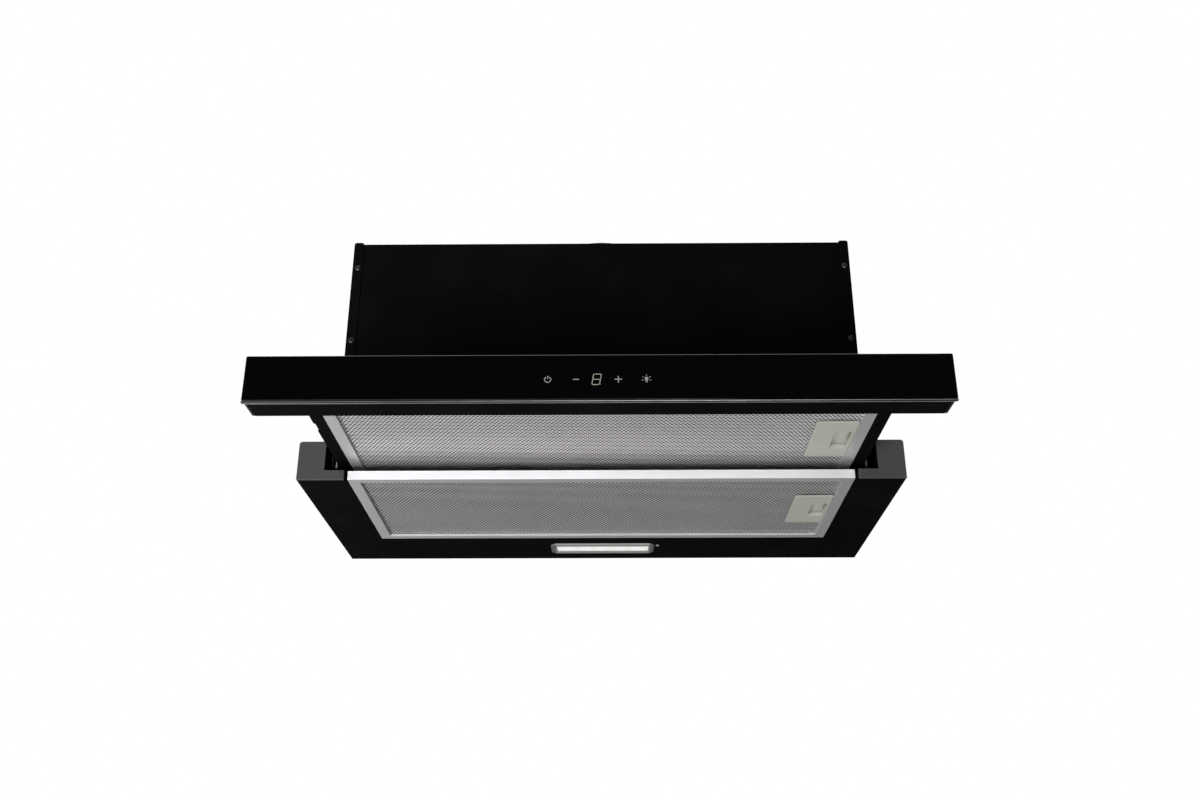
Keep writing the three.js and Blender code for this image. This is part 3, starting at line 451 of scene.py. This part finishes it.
def lamp_diffuser():
    """Frosted lens, brightest in front of each of the five light emitters behind it."""
    lens = Finish("lamp_diffuser", {"Roughness": 0.35, "Emission Strength": 0.27})
    near_emitter = (lens.x + EMITTER_PITCH / 2).wave(EMITTER_PITCH)
    glow = lens.ramp(near_emitter, 0.2, 1.0, 0.72, 1.0)
    lens.set("Base Color", lens.between(glow, (0.56, 0.56, 0.55), (0.70, 0.70, 0.69)))
    lens.set("Emission Color", lens.between(glow, (0.72, 0.72, 0.71), (1.0, 1.0, 0.99)))
    lens.relief(lens.x.wave(PRISM_PITCH), 0.15, 0.5)
    return lens.material


def circuit_board():
    board = Finish("circuit_board", {"Coat Roughness": 0.2})
    tracks = board.least(board.x.wave(math.pi / 1.3), board.y.wave(math.pi / 1.1))
    copper = board.ramp(tracks, 0.16, 0.24, 1.0, 0.0)
    board.set("Base Color", board.between(copper, (0.006, 0.05, 0.018), (0.02, 0.11, 0.04)))
    board.set("Roughness", 0.35 + 0.2 * board.noise(8))
    board.relief(copper, 0.04, 0.6)
    return board.material


def display_window():
    window = Finish("display_window", {})
    shade = window.noise(4)
    window.set("Base Color", window.between(shade, (0.012, 0.012, 0.010), (0.018, 0.018, 0.015)))
    window.set("Roughness", 0.25 + 0.1 * window.noise(6))
    return window.material


def rubber():
    pad = Finish("rubber", {"Specular IOR Level": 0.25})
    pad.set("Base Color", pad.between(pad.noise(3), (0.010, 0.010, 0.010), (0.018, 0.018, 0.017)))
    pad.set("Roughness", 0.75 + 0.15 * pad.noise(2))
    pad.relief(pad.noise(0.7), 0.06, 0.6)
    return pad.material


def lit_print(name, dim, bright, strength):
    """The translucent print of a touch symbol, lit from behind and a little uneven."""
    ink = Finish(name, {"Roughness": 0.5, "Emission Strength": strength})
    glow = ink.noise(1.6, detail=2)
    ink.set("Base Color", ink.between(glow, dim, bright))
    ink.set("Emission Color", ink.between(glow, dim, bright))
    return ink.material


def fine_screw():
    steel = Finish("black_screw", {"Metallic": 0.6})
    shade = steel.noise(1.5)
    steel.set("Base Color", steel.between(shade, (0.02, 0.02, 0.021), (0.045, 0.045, 0.047)))
    steel.set("Roughness", 0.35 + 0.2 * steel.noise(1))
    return steel.material


finishes = {
    "black_steel": black_steel(),
    "black_plastic": black_plastic(),
    "grey_plastic": grey_plastic(),
    "black_glass": black_glass(),
    "edge_trim": edge_trim(),
    # The two frames are of one metal; the rear one's darker bands and lighter flange are painted
    # shade and painted light.
    "front_frame": folded_frame(
        "front", (0.57, 0.57, 0.57), (0.64, 0.64, 0.64), (0.84, 0.84, 0.84)
    ),
    "rear_frame": folded_frame(
        "rear", (0.53, 0.525, 0.535), (0.60, 0.595, 0.605), (0.90, 0.89, 0.91)
    ),
    # The two sheets are of one metal; the rear one is painted darker, as painted shade on the rear
    # filter.
    "front_sheet": perforated_sheet(
        "front", (0.65, 0.65, 0.65), (0.79, 0.785, 0.79), (0.03, 0.03, 0.03)
    ),
    "rear_sheet": perforated_sheet(
        "rear", (0.47, 0.47, 0.47), (0.59, 0.585, 0.59), (0.02, 0.02, 0.02)
    ),
    "wire_pack": wire_pack(),
    "latch_plastic": latch_plastic(),
    "zinc_steel": zinc_steel(),
    "lamp_bezel": lamp_grey(),
    "lamp_lens": lamp_diffuser(),
    "circuit_board": circuit_board(),
    "display": display_window(),
    "rubber": rubber(),
    "capacitor": drawn_can(),
    "symbol": lit_print("symbol_print", (0.15, 0.15, 0.15), (0.20, 0.20, 0.20), 0.15),
    "digit": lit_print("digit_print", (0.17, 0.17, 0.14), (0.24, 0.235, 0.19), 0.15),
    "screw": fine_screw(),
}

# ---------------------------------------------------------------- modelling by hand

SMOOTH_ANGLE = math.radians(38)
BEVEL_ANGLE = math.radians(30)


def alone():
    """Deselects everything, so that the next operator acts only on what it makes."""
    if bpy.context.mode != "OBJECT":
        bpy.ops.object.mode_set(mode="OBJECT")
    bpy.ops.object.select_all(action="DESELECT")


def on(piece):
    """Selects the piece, and nothing else, for the next operator."""
    alone()
    bpy.context.view_layer.objects.active = piece
    piece.select_set(True)


def editing(piece, kind, test):
    """Edit mode on a piece with only those of its VERT, EDGE or FACE chosen whose test is true.
    The test gets the place in drawing millimetres, and for a face its normal too."""
    on(piece)
    mesh = piece.data
    for group in (mesh.vertices, mesh.edges, mesh.polygons):
        group.foreach_set("select", [False] * len(group))
    if kind == "FACE":
        for face in mesh.polygons:
            face.select = bool(test(drawn(face.center), face.normal))
    if kind == "EDGE":
        for edge in mesh.edges:
            a, b = (drawn(mesh.vertices[i].co) for i in edge.vertices)
            edge.select = bool(test(a, b))
    if kind == "VERT":
        for vertex in mesh.vertices:
            vertex.select = bool(test(drawn(vertex.co)))
    bpy.context.tool_settings.mesh_select_mode = (kind == "VERT", kind == "EDGE", kind == "FACE")
    bpy.ops.object.mode_set(mode="EDIT")


def settled(name):
    """The new primitive with its name, and its place, turn and size moved into its mesh."""
    piece = bpy.context.object
    piece.name = name
    bpy.ops.object.transform_apply(location=True, rotation=True, scale=True)
    return piece


def slab(name, low, high):
    """A cube primitive between two corners."""
    alone()
    low, high = at(*low), at(*high)
    bpy.ops.mesh.primitive_cube_add(size=1, location=(low + high) / 2, scale=high - low)
    return settled(name)


def card(name, middle, width, depth, rotation=(0, 0, 0)):
    """A plane primitive of that width and depth in millimetres round a place in metres."""
    alone()
    bpy.ops.mesh.primitive_plane_add(size=MM, location=middle, rotation=rotation)
    bpy.context.object.scale = (width, depth, 1)
    return settled(name)


def cut_across(piece, along_x, along_y):
    """Cuts a piece through at those places in X and Y, and leaves it in edit mode."""
    on(piece)
    bpy.ops.object.mode_set(mode="EDIT")
    cuts = [(at(x, 0, 0), (1, 0, 0)) for x in along_x] + [(at(0, y, 0), (0, 1, 0)) for y in along_y]
    for place, across in cuts:
        bpy.ops.mesh.select_all(action="SELECT")
        bpy.ops.mesh.bisect(plane_co=place, plane_no=across)


def turned_down(piece):
    """Turns a sheet's faces over if its flat ones look up."""
    alone()
    if sum(face.normal.z * face.area for face in piece.data.polygons) > 0:
        editing(piece, "FACE", lambda p, n: True)
        bpy.ops.mesh.flip_normals()


def modified(piece, kind, **settings):
    """Gives the piece a modifier with these settings and applies it."""
    on(piece)
    step = piece.modifiers.new(kind.lower(), kind)
    for key, value in settings.items():
        setattr(step, key, value)
    bpy.ops.object.modifier_apply(modifier=step.name)
    return piece


def eased(piece, width, segments=2):
    """Breaks the sharp edges by width millimetres, and smooths what is round but no flat face."""
    modified(
        piece, "BEVEL", width=width * MM, segments=segments, limit_method="ANGLE",
        angle_limit=BEVEL_ANGLE,
    )
    on(piece)
    bpy.ops.object.shade_smooth_by_angle(angle=SMOOTH_ANGLE)
    return modified(piece, "WEIGHTED_NORMAL", keep_sharp=True)


def fitted(piece, finish, body, stands_for=()):
    """Gives a finished piece its material and its body, and hides the CAD nodes that it stands for.
    """
    alone()
    piece.data.materials.clear()
    piece.data.materials.append(finishes[finish])
    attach(piece, body)
    if stands_for:
        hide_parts(*stands_for)
    return piece


def refined(node, width, finish):
    """A copy of a CAD node, its triangles merged into whole faces and its edges eased."""
    alone()
    piece = bpy.data.objects.new(node + "_finished", cad[node].data.copy())
    bpy.context.scene.collection.objects.link(piece)
    editing(piece, "VERT", lambda p: True)
    bpy.ops.mesh.remove_doubles(threshold=0.002 * MM)
    bpy.ops.mesh.dissolve_limited(angle_limit=math.radians(0.5))
    eased(piece, width)
    return fitted(piece, finish, body_of[node], [node])


# ---------------------------------------------------------------- filters

# Places along Y and Z here, and for the latches, are from a filter's front edge and its underside.
FILTER_MIDDLE = 99
PITCH = 4.02
ROW = PITCH * math.sqrt(3) / 2
COLUMNS, PAIRS_OF_ROWS = 60, 26
HOLE_RADIUS = 1.62
SHEET_THICK = 0.36
PACK_WIDTH, PACK_DEPTH, PACK_TOP, PACK_THICK = 492, 192, 7.4, 3.65
ROOM_LEFT, ROOM_Y = 201, (59, 139)


def in_latch_room(p, y):
    """Whether a place is in the room that the sheet and the pack leave for the latch."""
    return p.x > ROOM_LEFT and y + ROOM_Y[0] < p.y < y + ROOM_Y[1]


def perforated_half(name, side, y, z):
    """Half of a filter's lower sheet: one drilled hexagon, repeated in staggered rows."""
    x = -COLUMNS * PITCH + PITCH / 2 if side < 0 else PITCH / 2
    first = y + FILTER_MIDDLE - (PAIRS_OF_ROWS - 0.5) * ROW
    middle = at(x, first, z + SHEET_LOW)
    alone()
    bpy.ops.mesh.primitive_circle_add(vertices=6, radius=PITCH / math.sqrt(3) * MM, location=middle)
    outer = bpy.context.object
    bpy.ops.mesh.primitive_circle_add(
        vertices=8, radius=HOLE_RADIUS * MM, location=middle, rotation=(0, 0, math.pi / 8),
    )
    outer.select_set(True)
    bpy.ops.object.join()
    piece = settled(name)
    editing(piece, "EDGE", lambda a, b: True)
    bpy.ops.mesh.bridge_edge_loops()

    def round_hole(p):
        return math.hypot(p.x - x, p.y - first) < HOLE_RADIUS + 0.1

    editing(piece, "EDGE", lambda a, b: round_hole(a) and round_hole(b))
    bpy.ops.mesh.extrude_region_move(TRANSFORM_OT_translate={"value": (0, 0, SHEET_THICK * MM)})
    turned_down(piece)
    steps = [(COLUMNS, (PITCH, 0, 0)), (2, (PITCH / 2, ROW, 0)), (PAIRS_OF_ROWS, (0, 2 * ROW, 0))]
    for count, step in steps:
        modified(
            piece, "ARRAY", count=count, use_relative_offset=False, use_constant_offset=True,
            constant_offset_displace=Vector(step) * MM, use_merge_vertices=True,
            merge_threshold=0.02 * MM,
        )
    if side > 0:
        editing(piece, "FACE", lambda p, n: in_latch_room(p, y))
        bpy.ops.mesh.delete(type="FACE")
    return piece


def filter_pack(name, y, z):
    """The wire pack on the sheet: a flat piece cut back round the latch, then thickened."""
    piece = card(name, at(0, y + FILTER_MIDDLE, z + PACK_TOP), PACK_WIDTH, PACK_DEPTH)
    cut_across(piece, [ROOM_LEFT], [y + place for place in ROOM_Y])
    editing(piece, "FACE", lambda p, n: in_latch_room(p, y))
    bpy.ops.mesh.delete(type="FACE")
    return modified(piece, "SOLIDIFY", thickness=PACK_THICK * MM, offset=-1)


for label, (y, z, body) in FILTERS.items():
    left = perforated_half(label + "_filter_sheet_left", -1, y, z)
    right = perforated_half(label + "_filter_sheet_right", 1, y, z)
    fitted(left, label + "_sheet", body, [label + "_filter_mesh"])
    fitted(right, label + "_sheet", body)
    fitted(filter_pack(label + "_filter_pack", y, z), "wire_pack", body)

# ---------------------------------------------------------------- latches

PLATE_LOW, PLATE_WALL, PLATE_CORNER = 0.3, 1.2, 2.2
PLATE_X, PLATE_Y = (197.7, 237.2), (55.5, 142.5)
WINDOW_X, WINDOW_Y = (219, 234.5), (79.5, 120.5)
POCKET_DEPTH = 4.2


def latch_plate(name, y, z):
    """Moulded plate: an outline with round corners, the window, and the pocket's walls round it."""
    middle = at(sum(PLATE_X) / 2, y + sum(PLATE_Y) / 2, z + PLATE_LOW)
    piece = card(name, middle, PLATE_X[1] - PLATE_X[0], PLATE_Y[1] - PLATE_Y[0])
    cut_across(piece, WINDOW_X, [y + place for place in WINDOW_Y])

    def in_window(p, past):
        in_width = WINDOW_X[0] - past < p.x < WINDOW_X[1] + past
        return in_width and y + WINDOW_Y[0] - past < p.y < y + WINDOW_Y[1] + past

    editing(piece, "FACE", lambda p, n: in_window(p, 0))
    bpy.ops.mesh.delete(type="FACE")

    def front_right_or_rear(a, b):
        return in_window(a, 0.1) and in_window(b, 0.1) and max(a.x, b.x) > WINDOW_X[0] + 0.1

    editing(piece, "EDGE", front_right_or_rear)
    bpy.ops.mesh.extrude_region_move(TRANSFORM_OT_translate={"value": (0, 0, POCKET_DEPTH * MM)})
    editing(piece, "FACE", lambda p, n: True)
    bpy.ops.mesh.normals_make_consistent(inside=False)
    turned_down(piece)
    modified(piece, "SOLIDIFY", thickness=PLATE_WALL * MM, offset=-1, use_even_offset=True)
    corners = [(x, y + place) for x in PLATE_X for place in PLATE_Y]

    def upright_at_corner(a, b):
        return abs(a.z - b.z) > 1 and any(math.hypot(a.x - u, a.y - v) < 0.1 for u, v in corners)

    editing(piece, "EDGE", upright_at_corner)
    bpy.ops.mesh.bevel(offset=PLATE_CORNER * MM, segments=4)
    return eased(piece, 0.35, 3)


def merged(piece, *others):
    """The union of closed pieces that overlap."""
    for other in others:
        modified(piece, "BOOLEAN", object=other, operation="UNION", solver="EXACT")
        bpy.data.objects.remove(other)
    return piece


def latch_slider(name, y, z):
    """The pad behind the window with its finger ridge, the carriage above it and the tongue."""
    ridge = 225.6
    pad = slab(name, (210.7, y + 80, z + 2), (230.8, y + 102.5, z + 5.5))
    cut_across(pad, [ridge], [])
    editing(pad, "FACE", lambda p, n: p.x > ridge + 0.1 and n.z < -0.5)
    bpy.ops.mesh.extrude_region_move(TRANSFORM_OT_translate={"value": (0, 0, -1.6 * MM)})
    carriage = slab("carriage", (210.7, y + 78, z + 5), (239.2, y + 122, z + 6.6))
    tongue = slab("tongue", (236, y + 91, z + 5), (250.9, y + 107, z + 6.6))
    editing(tongue, "EDGE", lambda a, b: min(a.x, b.x) > 250.8 and max(a.z, b.z) < z + 5.1)
    bpy.ops.mesh.bevel(offset=1.1 * MM, segments=1)
    return eased(merged(pad, carriage, tongue), 0.25)


for label, (y, z, body) in FILTERS.items():
    latch = label + "_latch"
    fitted(latch_plate(latch + "_cover", y, z), "latch_plastic", body, [latch + "_plate"])
    fitted(latch_slider(latch + "_button", y, z), "latch_plastic", latch, [latch + "_slider"])

# ---------------------------------------------------------------- touch symbols on the glass

PRINT_FRONT, PRINT_BACK = -192.83, -192.705
PRINT_MIDDLE = (PRINT_FRONT + PRINT_BACK) / 2
PRINT_THICK = PRINT_BACK - PRINT_FRONT
SYMBOL_Z, LINE, LINE_CORNER = 19.5, 0.85, 0.25
POWER_X, MINUS_X, DIGIT_X, PLUS_X, LAMP_X = -42.9, -19.1, -1.8, 16.4, 40.1


def joined(name, *pieces):
    """Several primitives as one piece."""
    alone()
    for piece in pieces:
        piece.select_set(True)
    bpy.context.view_layer.objects.active = pieces[0]
    bpy.ops.object.join()
    pieces[0].name = name
    return pieces[0]


def stroke(x, z, width, height, turn, corner):
    """A printed bar round (x, z) with round corners, turned by degrees in the glass's plane."""
    alone()
    bpy.ops.mesh.primitive_cube_add(
        size=1, location=at(x, PRINT_MIDDLE, z), rotation=(0, math.radians(turn), 0),
        scale=(width * MM, PRINT_THICK * MM, height * MM),
    )
    piece = settled("stroke")
    editing(piece, "EDGE", lambda a, b: abs(a.y - b.y) > 0.05)
    bpy.ops.mesh.bevel(offset=corner * MM, segments=3)
    alone()
    return piece


def disc(x, z, radius):
    alone()
    bpy.ops.mesh.primitive_cylinder_add(
        vertices=24, radius=radius * MM, depth=PRINT_THICK * MM,
        location=at(x, PRINT_MIDDLE, z), rotation=(math.pi / 2, 0, 0),
    )
    return settled("disc")


def open_ring(x, z, radius, width, gap):
    """A ring with a gap in degrees at its top: the section of its stroke, spun round."""
    start = math.radians(gap / 2)
    middle = at(x, PRINT_MIDDLE, z)
    place = middle + Vector((math.sin(start), 0, math.cos(start))) * radius * MM
    piece = card("open_ring", place, width, PRINT_THICK, (0, start - math.pi / 2, 0))
    editing(piece, "FACE", lambda p, n: True)
    bpy.ops.mesh.spin(steps=28, angle=2 * (start - math.pi), center=middle, axis=(0, 1, 0))
    editing(piece, "VERT", lambda p: True)
    bpy.ops.mesh.remove_doubles(threshold=0.001 * MM)
    bpy.ops.mesh.normals_make_consistent(inside=False)
    alone()
    return piece


def seven_segments(x, z, width, height, line, slant):
    """An eight's strokes and dot, leaning by slant millimetres for each millimetre of height."""
    strokes = []
    corner = line * 0.3
    lean = math.degrees(math.atan(slant))
    for level in (-1, 0, 1):
        rise = level * (height - line) / 2
        strokes.append(stroke(x + rise * slant, z + rise, width - 2.2 * line, line, 0, corner))
    for side in (-1, 1):
        for level in (-1, 1):
            rise = level * (height - line) / 4
            across = x + side * (width - line) / 2 + rise * slant
            length = (height - line) / 2 - 0.35 * line
            strokes.append(stroke(across, z + rise, line, length, lean, corner))
    strokes.append(disc(x + width / 2 - 0.7, z - height / 2 + line / 2 + 0.1, line * 0.6))
    return strokes


BULB_Z, RAY_OUT = SYMBOL_Z + 0.4, 3.4
bulb = [disc(LAMP_X, BULB_Z, 1.65), stroke(LAMP_X, SYMBOL_Z - 1.9, 1.5, 1.9, 0, 0.3)]
for turn in (-112, -62, 0, 62, 112):
    ray = math.radians(turn)
    x, z = LAMP_X + RAY_OUT * math.sin(ray), BULB_Z + RAY_OUT * math.cos(ray)
    bulb.append(stroke(x, z, 0.6, 1.25, turn, 0.2))
SYMBOLS = {
    "power_symbol": [
        open_ring(POWER_X, SYMBOL_Z, 2.65, 0.72, 70),
        stroke(POWER_X, SYMBOL_Z + 2.0, 0.72, 2.9, 0, 0.22),
    ],
    "plus_symbol": [
        stroke(PLUS_X, SYMBOL_Z, 6.4, LINE, 0, LINE_CORNER),
        stroke(PLUS_X, SYMBOL_Z + 1.8, LINE, 2.7, 0, LINE_CORNER),
        stroke(PLUS_X, SYMBOL_Z - 1.8, LINE, 2.7, 0, LINE_CORNER),
    ],
    "minus_symbol": [stroke(MINUS_X, SYMBOL_Z, 5.2, LINE, 0, LINE_CORNER)],
    "speed_digit": seven_segments(DIGIT_X, SYMBOL_Z, 7.2, 10.3, 0.72, 0.16),
    "lamp_symbol": bulb,
}
for name, pieces in SYMBOLS.items():
    finish = "digit" if name == "speed_digit" else "symbol"
    fitted(joined(name, *pieces), finish, "drawer")

# ---------------------------------------------------------------- eased copies, CAD's own finishes

# By finish, the nodes that get a copy with its edges eased, by that many millimetres.
EASED = {
    "grey_plastic": [("left_end_cap", 0.5), ("right_end_cap", 0.5)],
    "black_glass": [("glass_fascia", 0.1)],
    "edge_trim": [("fascia_trim", 0.12)],
    "black_steel": [
        ("housing_front", 0.3), ("left_housing_side", 0.3), ("right_housing_side", 0.3),
        ("bar_carrier", 0.5), ("drawer_frame", 0.3),
    ],
    "screw": [
        ("left_lower_screw", 0.12), ("right_lower_screw", 0.12), ("left_upper_screw", 0.12),
        ("right_upper_screw", 0.12),
    ],
    "black_plastic": [
        ("outlet_collar", 0.4), ("front_flap", 0.2), ("rear_flap", 0.2), ("cable_gland", 0.5),
        ("left_bar_end_cap", 0.5), ("right_bar_end_cap", 0.5),
    ],
    "front_frame": [("front_filter_frame", 0.2)],
    "rear_frame": [("rear_filter_frame", 0.2)],
    "lamp_bezel": [("lamp_bezel", 0.35)],
    "lamp_lens": [("lamp_lens", 0.15)],
    "zinc_steel": [
        ("lamp_screw", 0.15), ("flap_pin", 0.2), ("left_cabinet_bracket", 0.3),
        ("right_cabinet_bracket", 0.3),
    ],
}

# The other nodes, which stay as they are or stand under pieces modelled above.
PLAIN = {
    "black_steel": ["base_frame", "housing_rear", "housing_top", "drawer_cover"],
    "black_plastic": ["blower_front", "blower_rear", "control_box", "control_box_lid"],
    "grey_plastic": ["fan_wheel"],
    "front_sheet": ["front_filter_mesh"],
    "rear_sheet": ["rear_filter_mesh"],
    "latch_plastic": [
        "rear_latch_plate", "front_latch_plate", "rear_latch_slider", "front_latch_slider",
    ],
    "zinc_steel": [
        "motor", "motor_bracket", "motor_shaft", "left_slide_fixed", "right_slide_fixed",
        "left_slide_middle", "right_slide_middle", "left_slide_drawer", "right_slide_drawer",
    ],
    "circuit_board": ["control_board", "led_board", "touch_board"],
    "display": ["display"],
    "rubber": ["left_bumper", "right_bumper"],
    "capacitor": ["capacitor"],
}


def dress(node, finish):
    cad[node].material_slots[0].material = finishes[finish]


for finish, members in EASED.items():
    for node, width in members:
        refined(node, width, finish)
        dress(node, finish)
for finish, members in PLAIN.items():
    for node in members:
        dress(node, finish)
